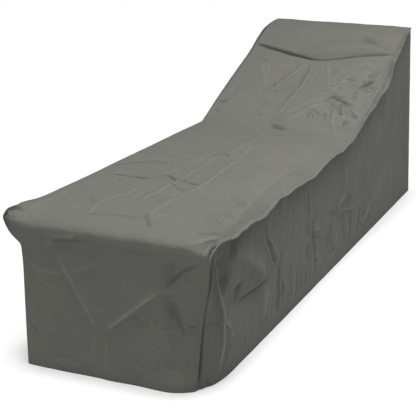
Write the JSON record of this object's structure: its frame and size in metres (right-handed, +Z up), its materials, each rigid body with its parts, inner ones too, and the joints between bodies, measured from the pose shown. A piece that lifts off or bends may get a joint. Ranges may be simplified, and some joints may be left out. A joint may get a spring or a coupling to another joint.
{
  "type": "lounge chair cover",
  "caption": "Fitted cloth cover for a sun lounger: a strip over front, seat, sloped back rest and head end, with side panels hanging to the floor; hollow and open underneath.",
  "frame": {"origin": "middle of the cover's box, at the level of the hem on the floor", "axes": "+Y runs along the cover from its low front end to its raised head end, +X across it, +Z up"},
  "size_m": [0.661, 2.1114, 0.71],
  "materials": {
    "coated_cloth": "matt grey woven polyester with a coated inside"
  },
  "bodies": {
    "root": {"top_panel": "coated_cloth", "side_panel_right": "coated_cloth", "side_panel_left": "coated_cloth", "back_panel": "coated_cloth"}
  },
  "joints": []
}
